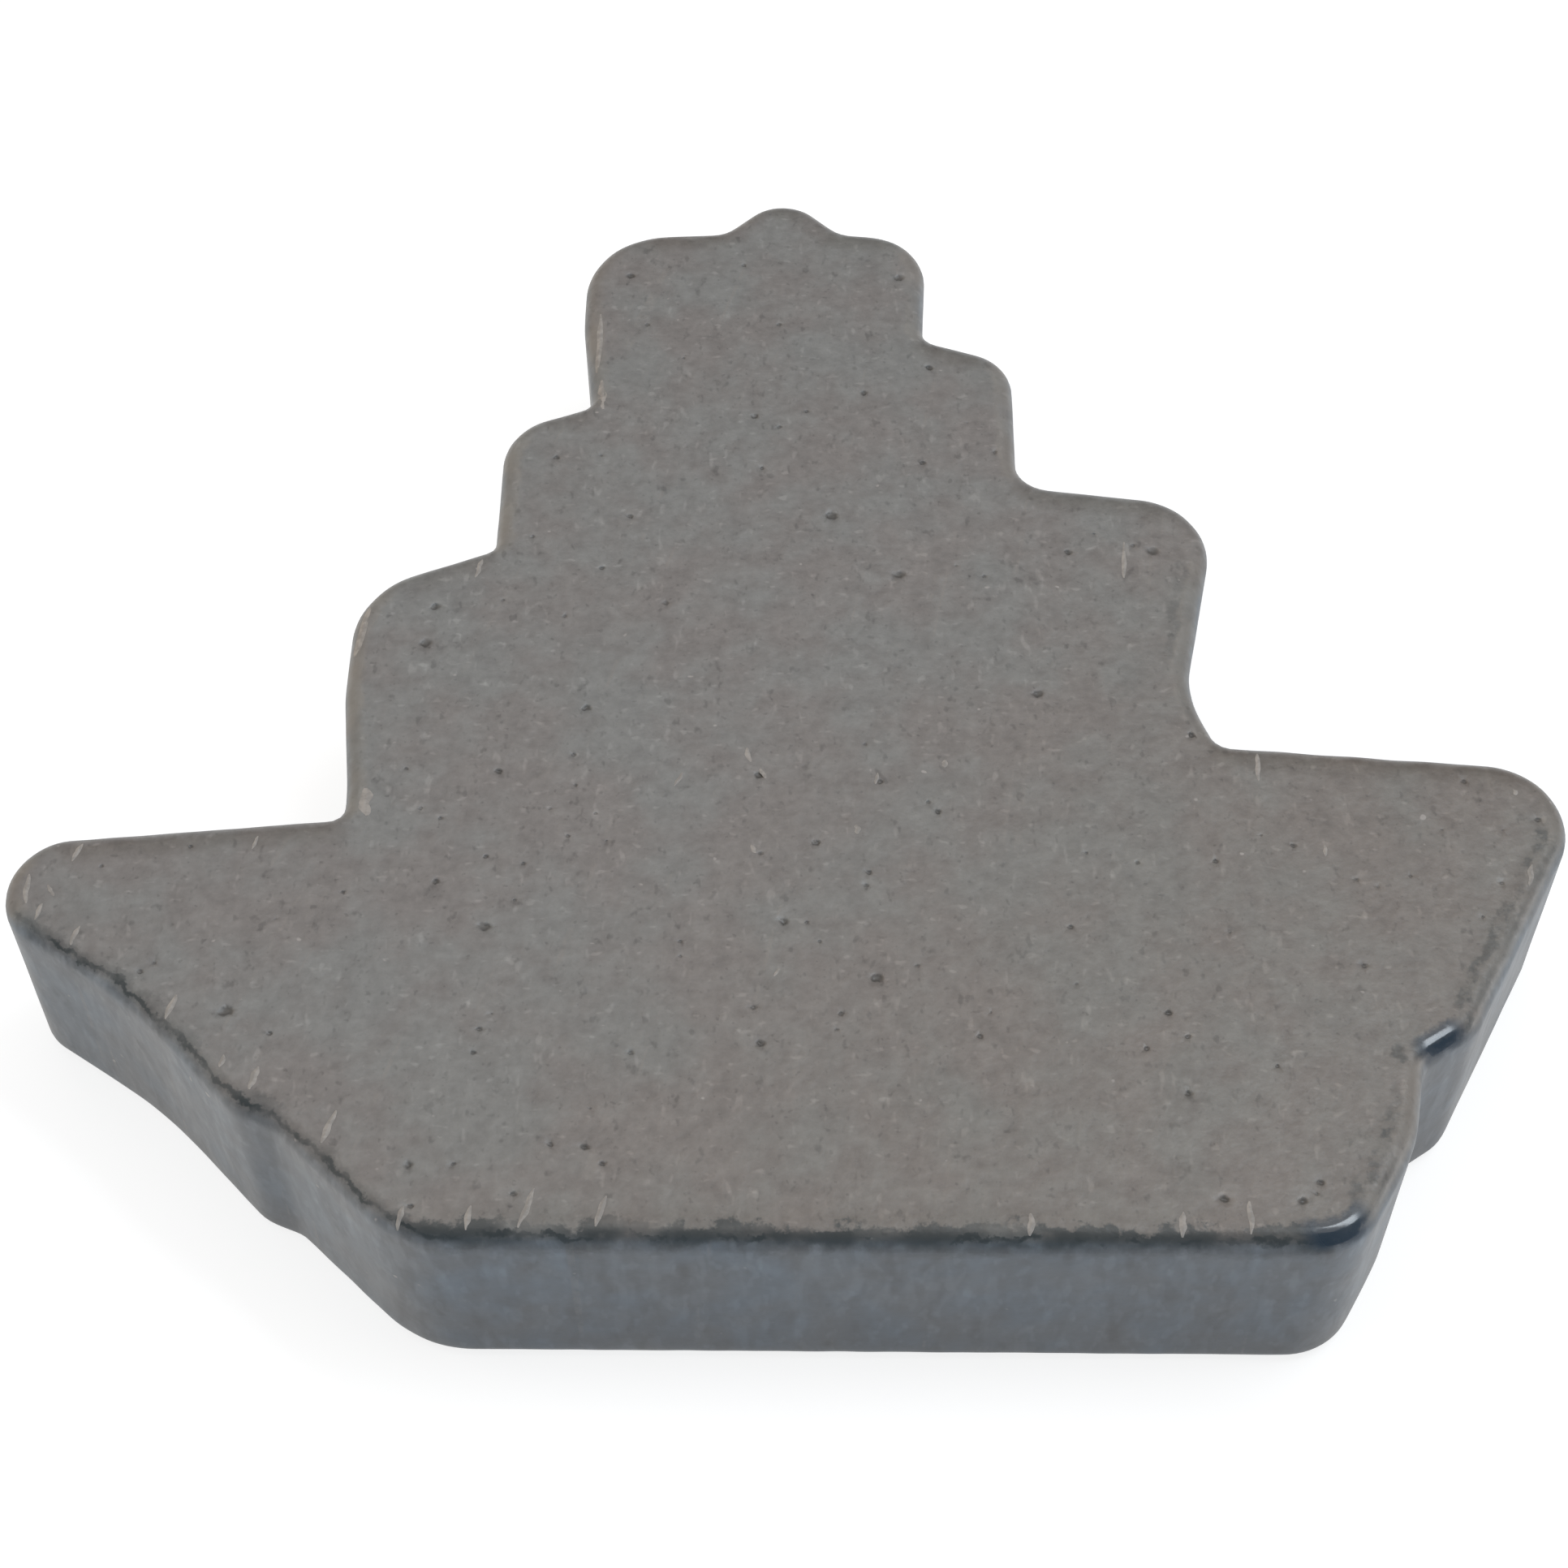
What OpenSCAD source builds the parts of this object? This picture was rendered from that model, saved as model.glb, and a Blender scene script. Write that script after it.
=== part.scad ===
// Game token: a flat sailing ship, sawn from one wooden moulding and lacquered all over.
// It lies on its face. X runs from the bow to the stern, Y from the keel to the masthead, Z up.
// Every reach is measured from the line of the mast, fore (-X) or aft (+X), and every height from
// the keel. Reaches and heights give the sharp corners, before they are rounded.

/* [Plate] */
// Thickness of the token, lacquer included
thick = 5.5; // [4:0.1:8]
// Radius of the rolled rim round both faces
rim_r = 0.45; // [0.3:0.05:0.8]
// Thickness of the lacquer on the wood
film = 0.1; // [0.05:0.01:0.2]

/* [Hull] */
// Reach of the bow
bow_reach = 17.5; // [16:0.1:21]
// Height of the bow
bow_height = 10.05; // [9.2:0.05:10.6]
// Radius of the tip of the bow
bow_r = 1.5; // [0.9:0.05:1.7]
// Reach of the stern
stern_reach = 19.05; // [17.5:0.05:22]
// Height of the stern
stern_height = 12.3; // [11.4:0.1:12.8]
// Radius of the tip of the stern
stern_r = 1.75; // [0.9:0.05:2.2]
// Reach of the keel at its fore end
keel_fore = 7.65; // [6.5:0.05:8.6]
// Reach of the keel at its after end
keel_aft = 12.25; // [11:0.05:13]
// Radius between the keel and the stem
forefoot_r = 2.9; // [1:0.1:3.4]
// Radius between the keel and the stern
heel_r = 1.65; // [0.8:0.05:2]
// Height of the fore deck where it meets the lowest sail
deck_fore = 10.8; // [10.4:0.1:12]
// Height of the after deck where it meets the lowest sail
deck_aft = 13; // [12.4:0.1:13.8]

/* [Stem and stern] */
// Radius under the tip of the bow
chin_r = 1.2; // [0.5:0.05:1.5]
// Radius of the hollow of the stem
hollow_r = 8; // [1:0.5:10]
// Radius of the knuckle on the stem
knuckle_r = 1.15; // [0.6:0.05:1.6]
// Radius of the throat under the knuckle
throat_r = 1; // [0.3:0.05:1.2]
// Radius of the swell above the heel
swell_r = 3.9; // [1:0.1:5]
// Radius in the step under the stern gallery
step_r = 0.35; // [0.2:0.05:0.6]
// Radius of the lip of the stern gallery
lip_r = 1.45; // [0.6:0.05:1.9]

/* [Lowest sail] */
// Reach of its fore edge at the head
low_fore = 10.15; // [9.2:0.05:10.6]
// Height of its fore shoulder
low_fore_top = 17.5; // [16.8:0.1:18.2]
// Radius of its fore shoulder
low_fore_r = 2.2; // [1:0.1:2.6]
// How much its fore edge draws in at the foot
low_fore_in = 0.3; // [0.1:0.05:0.5]
// Reach of its after edge at the head
low_aft = 10.8; // [10:0.05:11.6]
// Height of its after shoulder
low_aft_top = 20.35; // [19.6:0.05:20.8]
// Radius of its after shoulder
low_aft_r = 1.8; // [1:0.1:2.4]
// How much its after edge draws in at the waist
low_aft_waist = 1.15; // [0.5:0.05:1.3]
// How much its after edge draws in at the foot
low_aft_foot = 0.55; // [0.3:0.05:0.8]

/* [Middle sail] */
// Reach of its fore edge
mid_fore = 6.9; // [6.2:0.05:7.6]
// Height of its fore shoulder
mid_fore_top = 22.75; // [22:0.05:23.2]
// Height of its fore foot
mid_fore_foot = 18.85; // [18.3:0.05:19.4]
// Radius of its fore shoulder
mid_fore_r = 1.6; // [0.8:0.05:1.8]
// Reach of its after edge
mid_aft = 5.9; // [5.2:0.05:6.6]
// Height of its after shoulder
mid_aft_top = 25.2; // [24.6:0.05:25.6]
// Height of its after foot
mid_aft_foot = 21; // [20.6:0.05:21.6]
// Radius of its after shoulder
mid_aft_r = 1.35; // [0.6:0.05:1.6]

/* [Top sail] */
// Reach of its fore edge at the head
top_fore = 5.1; // [4.6:0.05:5.8]
// Height of its fore shoulder
top_fore_top = 29.6; // [28.8:0.05:29.8]
// Height of its fore foot
top_fore_foot = 23.6; // [23.1:0.05:24.2]
// Radius of its fore shoulder
top_fore_r = 2.1; // [1:0.05:2.4]
// How much its fore edge draws in at the foot
top_fore_in = 0.35; // [0.1:0.05:0.6]
// Reach of its after edge
top_aft = 3.8; // [3.5:0.05:4.4]
// Height of its after shoulder
top_aft_top = 29.65; // [29:0.05:29.8]
// Height of its after foot
top_aft_foot = 25.95; // [25.5:0.05:26.4]
// Radius of its after shoulder
top_aft_r = 1.6; // [0.6:0.05:1.7]
// How much its after edge draws in at the foot
top_aft_in = 0.15; // [0.05:0.05:0.3]

/* [Masthead] */
// Height of the sharp crest of the masthead
crest_height = 31.35; // [31.1:0.05:31.7]
// Radius of the crest
crest_r = 1.2; // [0.7:0.05:1.4]
// Half the width of the masthead's foot
crest_foot = 1.55; // [1.4:0.05:1.7]
// Height of the masthead's foot
crest_foot_height = 29.85; // [29.7:0.05:30]
// Radius on each side of the masthead's foot
crest_foot_r = 0.8; // [0.4:0.05:0.9]

/* [Inner corners] */
// Radius of the inner corners on the fore side
inner_fore_r = 0.35; // [0.2:0.05:0.6]
// Radius of the inner corners on the after side
inner_aft_r = 0.5; // [0.2:0.05:0.8]
// Radius of the inner corner under the middle sail on the after side
inner_mid_r = 0.85; // [0.3:0.05:1]
// Radius of the slow bends in the edges of the sails
bend_r = 4.9; // [2:0.1:5.5]
// Radius of the waist of the lowest sail's after edge
waist_r = 2.9; // [1:0.1:3.2]

/* [Hidden] */

// Longest turn of one facet of an outline's corner, and facets across the rolled rim
turn_step = 13;
rim_steps = 3;

// Places along the overhang of the bow (share of the reach, share of the height)
chin_shares = [0.96, 0.787];
hollow_shares = [0.655, 0.586];
knuckle_shares = [0.386, 0.311];
throat_shares = [0.298, 0.276];
// Places along the overhang of the stern, in the same way
swell_shares = [0.212, 0.207];
step_shares = [0.265, 0.358];
lip_shares = [0.45, 0.431];
// Heights of the slow bends, as shares of the edge that bends
low_fore_bend_share = 0.52;
low_fore_foot_share = 0.13;
low_aft_waist_share = 0.218;
top_fore_bend_share = 0.475;
// Height of the point inside the hull that sees the whole outline, as a share of the fore deck
hub_share = 0.83;

function on_stem(shares) =
    [-keel_fore - (bow_reach - keel_fore) * shares[0], bow_height * shares[1]];
function on_stern(shares) =
    [keel_aft + (stern_reach - keel_aft) * shares[0], stern_height * shares[1]];
function between(low, high, share) = low + (high - low) * share;
function rounded(place, r) = [place[0], place[1], r];

// The sharp corners with their radii, counter-clockwise from the forefoot
keel_corners = [
    [-keel_fore, 0, forefoot_r],
    [keel_aft, 0, heel_r]
];
stern_corners = [
    rounded(on_stern(swell_shares), swell_r),
    rounded(on_stern(step_shares), step_r),
    rounded(on_stern(lip_shares), lip_r),
    [stern_reach, stern_height, stern_r]
];
low_aft_corners = [
    [low_aft - low_aft_foot, deck_aft, inner_aft_r],
    [low_aft - low_aft_waist, between(deck_aft, low_aft_top, low_aft_waist_share), waist_r],
    [low_aft, low_aft_top, low_aft_r]
];
mid_aft_corners = [
    [mid_aft, mid_aft_foot, inner_mid_r],
    [mid_aft, mid_aft_top, mid_aft_r]
];
top_aft_corners = [
    [top_aft - top_aft_in, top_aft_foot, inner_aft_r],
    [top_aft, top_aft_top, top_aft_r]
];
masthead_corners = [
    [crest_foot, crest_foot_height, crest_foot_r],
    [0, crest_height, crest_r],
    [-crest_foot, crest_foot_height, crest_foot_r]
];
top_fore_corners = [
    [-top_fore, top_fore_top, top_fore_r],
    [-top_fore, between(top_fore_foot, top_fore_top, top_fore_bend_share), bend_r],
    [top_fore_in - top_fore, top_fore_foot, inner_fore_r]
];
mid_fore_corners = [
    [-mid_fore, mid_fore_top, mid_fore_r],
    [-mid_fore, mid_fore_foot, inner_fore_r]
];
low_fore_corners = [
    [-low_fore, low_fore_top, low_fore_r],
    [-low_fore, between(deck_fore, low_fore_top, low_fore_bend_share), bend_r],
    [low_fore_in - low_fore, between(deck_fore, low_fore_top, low_fore_foot_share), bend_r],
    [low_fore_in - low_fore, deck_fore, inner_fore_r]
];
bow_corners = [
    [-bow_reach, bow_height, bow_r],
    rounded(on_stem(chin_shares), chin_r),
    rounded(on_stem(hollow_shares), hollow_r),
    rounded(on_stem(knuckle_shares), knuckle_r),
    rounded(on_stem(throat_shares), throat_r)
];
corners = concat(
    keel_corners,
    stern_corners,
    low_aft_corners,
    mid_aft_corners,
    top_aft_corners,
    masthead_corners,
    top_fore_corners,
    mid_fore_corners,
    low_fore_corners,
    bow_corners
);

// The corner at a place in the list, the way to its neighbours and half the angle between them
count = len(corners);
function unit(v) = v / norm(v);
function turned(v, a) = [v[0] * cos(a) - v[1] * sin(a), v[0] * sin(a) + v[1] * cos(a)];
function corner(i) = corners[(i + count) % count];
function place(i) = [corner(i)[0], corner(i)[1]];
function back(i) = unit(place(i - 1) - place(i));
function onward(i) = unit(place(i + 1) - place(i));
function half(i) = acos(back(i) * onward(i)) / 2;

// How far an arc reaches along its edges, and the share of it that the edge after it has room for
function tangent(i) = corner(i)[2] / tan(half(i));
function room_share(i) = min(1, norm(place(i + 1) - place(i)) / (tangent(i) + tangent(i + 1)));

// One corner turned into an arc that meets both of its edges smoothly. Its radius shrinks where an
// edge is too short for it. Each point is [x, y, outward x, outward y].
function arc(i) =
    let (
        r = corner(i)[2] * min(room_share(i - 1), room_share(i)),
        side = cross(onward(i), back(i)) > 0 ? 1 : -1,
        centre = place(i) + unit(back(i) + onward(i)) * r / sin(half(i)),
        spoke = unit(place(i) + back(i) * r / tan(half(i)) - centre),
        turn = 180 - 2 * half(i),
        steps = ceil(turn / turn_step)
    )
    [
        for (k = [0:steps])
            let (
                way = turned(spoke, side * turn * k / steps),
                point = centre + way * r
            )
            [point[0], point[1], side * way[0], side * way[1]]
    ];
mast_outline = [for (i = [0:count - 1]) each arc(i)];

// The same outline about the middle of its own box
left_end = min([for (p = mast_outline) p[0]]);
right_end = max([for (p = mast_outline) p[0]]);
masthead = max([for (p = mast_outline) p[1]]);
middle = [(left_end + right_end) / 2, masthead / 2];
hub = [0, deck_fore * hub_share] - middle;
outline = [for (p = mast_outline) [p[0] - middle[0], p[1] - middle[1], p[2], p[3]]];

// The token's solid with a skin of the given thickness taken off all over.
// Rings climb round the lower rim, up the wall and round the upper rim, and both faces are
// fans about the hub.
function ring(inset, z) = [for (p = outline) [p[0] - p[2] * inset, p[1] - p[3] * inset, z]];
module plate(skin) {
    round_r = rim_r - skin;
    rises = [for (k = [0:rim_steps]) 90 * k / rim_steps];
    lower = [for (a = rises) [skin + round_r * (1 - sin(a)), skin + round_r * (1 - cos(a))]];
    levels = concat(lower, [for (k = [rim_steps:-1:0]) [lower[k][0], thick - lower[k][1]]]);
    n = len(outline);
    last = len(levels) - 1;
    points = concat(
        [for (level = levels) each ring(level[0], level[1])],
        [[hub[0], hub[1], skin], [hub[0], hub[1], thick - skin]]
    );
    low_hub = len(points) - 2;
    high_hub = len(points) - 1;
    bands = [
        for (j = [0:last - 1])
            for (i = [0:n - 1])
                let (
                    a = j * n + i,
                    b = j * n + (i + 1) % n
                )
                each [[a, a + n, b + n], [a, b + n, b]]
    ];
    under = [for (i = [0:n - 1]) [low_hub, i, (i + 1) % n]];
    over = [for (i = [0:n - 1]) [high_hub, last * n + (i + 1) % n, last * n + i]];
    polyhedron(points = points, faces = concat(bands, under, over));
}

// The sawn and tumbled wooden body
module wood_blank() {
    color([0.79, 0.66, 0.53])
        plate(film);
}

// The grey lacquer, one closed film round the whole body
module lacquer_coat() {
    color([0.47, 0.47, 0.46])
        difference() {
            plate(0);
            plate(film);
        }
}

wood_blank();
lacquer_coat();
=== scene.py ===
"""Game token: a flat wooden sailing ship under grey satin lacquer, lying on its face on a pale floor."""

import math
import random

import bmesh
import bpy
import numpy as np
from mathutils import Matrix, Vector, geometry, noise


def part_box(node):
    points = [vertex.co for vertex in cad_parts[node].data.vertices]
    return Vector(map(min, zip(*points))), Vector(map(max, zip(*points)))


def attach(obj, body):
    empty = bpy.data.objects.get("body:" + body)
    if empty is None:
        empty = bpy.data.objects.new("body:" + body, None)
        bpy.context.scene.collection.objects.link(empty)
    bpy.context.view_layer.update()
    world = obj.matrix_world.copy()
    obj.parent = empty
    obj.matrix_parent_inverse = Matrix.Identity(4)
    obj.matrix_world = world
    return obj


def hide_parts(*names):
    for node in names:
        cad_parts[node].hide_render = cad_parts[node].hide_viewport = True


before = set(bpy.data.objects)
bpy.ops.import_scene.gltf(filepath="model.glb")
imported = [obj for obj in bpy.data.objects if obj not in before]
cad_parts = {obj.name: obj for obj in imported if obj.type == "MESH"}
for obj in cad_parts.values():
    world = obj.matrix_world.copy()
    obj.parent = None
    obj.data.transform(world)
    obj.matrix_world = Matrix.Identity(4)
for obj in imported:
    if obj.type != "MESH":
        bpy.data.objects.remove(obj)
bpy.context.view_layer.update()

MM = 0.001

# The token, from the frame
LOW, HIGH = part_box("lacquer_coat")
THICK = HIGH.z - LOW.z
RIM_R = 0.45 * MM
# A point inside the hull that sees the whole outline
HUB = Vector((-0.38 * MM, -6.5 * MM))
WELD_GAP = 0.0001 * MM
LEVEL_SLACK = 0.01 * MM

# The photograph's camera
PHOTO_SIDE = 1932
CAMERA_FOCUS_PX = 3699.2
CAMERA_PLACE = Vector((0.3875, -44.133, 61.076)) * MM
CAMERA_DOWN_DEG = 54.0
CAMERA_AZIMUTH_DEG = -0.792
CAMERA_ROLL_DEG = 0.332
SENSOR_WIDTH = 36
NEAREST_SEEN = 1 * MM
FARTHEST_SEEN = 20

# Spacing of the lacquer's mesh
EDGE_STEP = 0.16 * MM
FACE_STEP = 0.17 * MM
UNDER_STEP = 0.24 * MM
RIM_RINGS = 7
WALL_RINGS = 18
CURVE_POINTS_PER_STEP = 4
CURVE_POINTS_LEAST = 8
CLOUD_SPREAD_SHARE = 0.18
RIM_CLEARANCE_SHARE = 0.55
POINTS_AT_A_TIME = 2000
JOIN_GAP_MM = 1e-6

# Relief of the lacquer, with the size of its lumps
RIM_WANDER_SHARE = 0.07
RIM_LUMP = 0.9 * MM
WALL_WAVE = 0.014 * MM
WALL_LUMP = 0.7 * MM
WALL_STREAK_SHARE = 0.4
FACE_WAVE = 0.005 * MM
FACE_LUMP = 2.2 * MM
RIM_SEED = 3.1
WALL_SEED = 8.3
FACE_SEED = 21
UNDER_SEED = 22

# Open pores, as pixels of the photograph: across, down, radius
PORES_PX = [
    (1108, 708, 8), (1025, 635, 7), (930, 513, 5), (1065, 484, 5), (1145, 453, 5), (1137, 570, 4),
    (777, 636, 4), (820, 743, 4), (537, 747, 6), (525, 792, 8), (723, 872, 6), (615, 950, 5),
    (597, 1141, 8), (537, 1086, 5), (279, 1246, 9), (590, 1268, 4), (583, 1297, 4), (937, 1285, 6),
    (929, 1241, 4), (1081, 1205, 7), (1421, 679, 8), (1316, 680, 5), (1279, 855, 7), (1213, 710, 3),
    (503, 1435, 7), (742, 1433, 5), (936, 955, 6), (1509, 1477, 6), (1606, 1480, 6), (1628, 1457, 5),
    (1623, 1471, 3), (1465, 1347, 5), (1440, 1248, 5), (1464, 1277, 4), (1414, 1292, 4),
    (1208, 1277, 4), (1682, 1190, 4), (1320, 1142, 4), (1085, 963, 4), (125, 1067, 3), (190, 1186, 3),
    (173, 1197, 4), (332, 1273, 4), (235, 1043, 3), (559, 1434, 3), (721, 1413, 6), (678, 1410, 4),
    (633, 1471, 4), (506, 1486, 4), (966, 1136, 6), (1006, 1038, 5), (1010, 1160, 3), (1071, 1075, 4),
    (1068, 1091, 3), (1131, 1190, 3), (1156, 1000, 5), (1144, 988, 3), (994, 1136, 3), (838, 1160, 3),
    (777, 340, 5), (1108, 342, 6), (798, 400, 3), (917, 327, 3), (960, 400, 3), (961, 526, 3),
    (686, 563, 4), (1226, 557, 3), (994, 507, 3), (1396, 672, 3), (1469, 905, 5), (1804, 963, 4),
    (1498, 1061, 4), (1594, 1042, 4), (1895, 1010, 4), (1672, 1084, 3), (656, 661, 3), (696, 759, 3),
    (742, 700, 4), (501, 947, 3), (710, 967, 3), (599, 1055, 4), (700, 1030, 3), (645, 1064, 3),
    (518, 996, 3),
]
PORE_SHARE = 0.80
PORE_STRETCH = 1.3
PORE_DEPTH = 0.05 * MM
# A pore of this radius or more is as deep as they get
PORE_FULL_R = 0.075 * MM
# As shares of a pore's radius: its raggedness and lumps, its end, its slope's width and its reach
PORE_RAGGED_SHARE = 0.55
PORE_LUMP_SHARE = 0.9
PORE_END_SHARE = 1.15
PORE_FALL_SHARE = 0.6
PORE_REACH_SHARE = 1.6
PORE_SEED = 6.1
# Rings of points round a pore: share of its radius, count
PORE_RINGS = ((0.0, 1), (0.4, 6), (0.75, 10), (1.0, 12), (1.3, 12))

# Small pores strewn at random: counts, radii, stretches, and how clear of the rim and of each other
SMALL_PORES = 36
SMALL_PORE_SEED = 5
UNDER_PORES = 60
UNDER_PORE_SEED = 9
SMALL_PORE_RADII_MM = (0.02, 0.028, 0.036, 0.05)
SMALL_PORE_STRETCHES = (1.0, 1.6)
SMALL_PORE_MARGIN = 0.3 * MM
SMALL_PORE_RADII_APART = 3

# Middle of the tree's growth rings, from which the rays fan out, in the token's plan
PITH = Vector((14.0 * MM, 62.0 * MM))

# Ray flecks, as pixels of the photograph: across, down, length, width, slant in degrees
FLECKS_PX = [
    (92, 1152, 26, 6, 28), (210, 1240, 32, 6, 24), (312, 1328, 30, 8, 22), (405, 1388, 44, 7, 24),
    (493, 1498, 26, 6, 20), (577, 1500, 30, 6, 16), (648, 1488, 52, 7, 22), (740, 1492, 40, 7, 20),
    (1270, 1508, 26, 7, 4), (1457, 1508, 30, 8, 0), (1541, 1500, 40, 6, -4), (95, 1050, 26, 5, 30),
    (1550, 945, 34, 5, 0), (1385, 690, 44, 5, 0), (450, 988, 34, 12, 0), (738, 422, 70, 7, 3),
    (590, 700, 24, 5, 20), (447, 776, 62, 9, 17), (836, 960, 20, 4, 35), (922, 930, 18, 5, -15),
    (940, 953, 14, 5, -30), (1080, 959, 14, 4, 10), (1056, 1022, 11, 7, 0), (928, 1046, 12, 5, -30),
    (1164, 941, 9, 7, 0), (957, 1198, 12, 3, 40), (63, 1097, 16, 4, -30), (47, 1123, 22, 5, 25),
    (273, 1307, 16, 5, 20), (314, 1038, 18, 4, 25), (33, 1095, 36, 6, 5), (741, 486, 36, 8, -4),
    (1633, 1048, 14, 4, 0), (1886, 1078, 26, 6, 8), (1867, 976, 8, 5, -30),
]
FLECK_STATIONS = 13
FLECK_SIDES = 4
FLECK_BREADTH_SHARE = 1.2
FLECK_PROUD = 0.012 * MM
FLECK_ROOT = 0.06 * MM
# Where on a sine's hump a fleck begins and how much of it it takes, and the power that blunts its tips
FLECK_START_SHARE = 0.04
FLECK_HUMP_SHARE = 0.92
FLECK_BLUNTNESS = 0.7
# How much its width and its course waver, how fast from station to station, and the wavers' seeds
FLECK_RAGGED_SHARE = 0.45
FLECK_RAGGED_PACE = 0.35
FLECK_RAGGED_SEED = 7.7
FLECK_BEND_SHARE = 0.6
FLECK_BEND_PACE = 0.22
FLECK_BEND_SEED = 4.4

# Short stretches of the rim where the pooled lacquer is polished, each with a painted dark reflection
# round it: across, down, reach in pixels
GLINTS_PX = [(1650, 1511, 30), (1776, 1281, 24)]


# Camera

def camera_axes():
    """The camera's right, up and forward in the row frame."""
    down, turn, roll = (
        math.radians(a) for a in (CAMERA_DOWN_DEG, CAMERA_AZIMUTH_DEG, CAMERA_ROLL_DEG)
    )
    forward = Vector(
        (math.sin(turn) * math.cos(down), math.cos(turn) * math.cos(down), -math.sin(down))
    )
    level = Vector((math.cos(turn), -math.sin(turn), 0.0))
    below = forward.cross(level)
    right = math.cos(roll) * level + math.sin(roll) * below
    up = math.sin(roll) * level - math.cos(roll) * below
    return right, up, forward


def add_camera():
    """The camera that fits the photograph's silhouette, rim line and base line."""
    right, up, forward = camera_axes()
    data = bpy.data.cameras.new("photo_camera")
    data.sensor_width = SENSOR_WIDTH
    data.lens = CAMERA_FOCUS_PX / PHOTO_SIDE * SENSOR_WIDTH
    data.clip_start = NEAREST_SEEN
    data.clip_end = FARTHEST_SEEN
    camera = bpy.data.objects.new("photo_camera", data)
    bpy.context.scene.collection.objects.link(camera)
    turn = Matrix((right, up, -forward)).transposed().to_4x4()
    camera.matrix_world = Matrix.Translation(CAMERA_PLACE) @ turn
    bpy.context.scene.camera = camera


def on_face(across, down):
    """The point of the upper face under a pixel of the photograph."""
    right, up, forward = camera_axes()
    middle = PHOTO_SIDE / 2
    ray = forward + (right * (across - middle) - up * (down - middle)) / CAMERA_FOCUS_PX
    reach = (THICK - CAMERA_PLACE.z) / ray.z
    return CAMERA_PLACE + ray * reach


# Outline

def shells_of(node):
    """The node's outer and inner surface, each as (points, faces)."""
    bm = bmesh.new()
    bm.from_mesh(node.data)
    bmesh.ops.remove_doubles(bm, verts=bm.verts, dist=WELD_GAP)
    bm.verts.ensure_lookup_table()
    left = dict.fromkeys(bm.verts)
    shells = []
    while left:
        grown = [left.popitem()[0]]
        for v in grown:
            for e in v.link_edges:
                w = e.other_vert(v)
                if w in left:
                    del left[w]
                    grown.append(w)
        place = {v: i for i, v in enumerate(grown)}
        faces = {f for v in grown for f in v.link_faces}
        points = np.array([v.co for v in grown])
        shells.append((points, sorted([place[v] for v in f.verts] for f in faces)))
    bm.free()
    return sorted(shells, key=lambda s: -np.ptp(s[0][:, 0]))


def wall_outline(points):
    """The outline at the foot of the upper rim, in order about the hub."""
    ring = points[np.abs(points[:, 2] - (THICK - RIM_R)) < LEVEL_SLACK][:, :2]
    angle = np.arctan2(ring[:, 1] - HUB.y, ring[:, 0] - HUB.x)
    return ring[np.argsort(angle)]


def curve_through(ring, step):
    """A closed smooth curve through the ring's corners, as close points."""
    ahead = np.roll(ring, -1, 0) - ring
    length = np.hypot(*ahead.T)
    way = ahead / length[:, None]
    weight = (length**2)[:, None]
    tangent = way * weight + np.roll(way * weight, 1, 0)
    tangent /= np.hypot(*tangent.T)[:, None]
    curve = []
    for i in range(len(ring)):
        j = (i + 1) % len(ring)
        count = max(CURVE_POINTS_LEAST, int(length[i] / step * CURVE_POINTS_PER_STEP))
        u = np.linspace(0, 1, count, endpoint=False)[:, None]
        curve.append(
            (2 * u**3 - 3 * u**2 + 1) * ring[i]
            + (u**3 - 2 * u**2 + u) * tangent[i] * length[i]
            + (3 * u**2 - 2 * u**3) * ring[j]
            + (u**3 - u**2) * tangent[j] * length[i]
        )
    return np.concatenate(curve)


def smooth_outline(ring, step):
    """The curve through the ring's corners, as evenly spaced points with outward normals."""
    curve = curve_through(ring, step)
    around = np.concatenate([curve, curve[:1]])
    run = np.concatenate([[0], np.cumsum(np.hypot(*np.diff(around, axis=0).T))])
    count = round(run[-1] / step)
    at = np.linspace(0, run[-1], count, endpoint=False)
    points = np.column_stack([np.interp(at, run, around[:, k]) for k in (0, 1)])
    along = np.roll(points, -1, 0) - np.roll(points, 1, 0)
    along /= np.hypot(*along.T)[:, None]
    return points, np.column_stack([along[:, 1], -along[:, 0]])


# The lacquer's rims and wall

def wander(x, y, z, size, seed=0.0):
    """Smooth noise from -1 to 1 with lumps of the given size."""
    return noise.noise(Vector((x, y, z)) / size + Vector((seed, -seed, 2 * seed)))


def rim_levels():
    """Inset and drop down the rolled rim, as shares of its radius."""
    turns = [math.pi / 2 * k / RIM_RINGS for k in range(RIM_RINGS + 1)]
    return [(1 - math.sin(a), 1 - math.cos(a)) for a in turns]


def edge_points(outline, normals):
    """Rings of the rolled rims and the wall, from the upper face's edge to the lower one's."""
    rim = rim_levels()
    radius = np.array(
        [RIM_R * (1 + RIM_WANDER_SHARE * wander(x, y, 0, RIM_LUMP, RIM_SEED)) for x, y in outline]
    )
    wall = np.linspace(0, 1, WALL_RINGS + 2)[1:-1]
    top = THICK - radius
    rings = [(radius * inset, THICK - radius * drop) for inset, drop in rim]
    rings += [(radius * 0, top + (radius - top) * share) for share in wall]
    rings += [(radius * inset, radius * drop) for inset, drop in rim[::-1]]
    return [dented_ring(outline, normals, inset, z) for inset, z in rings]


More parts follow.
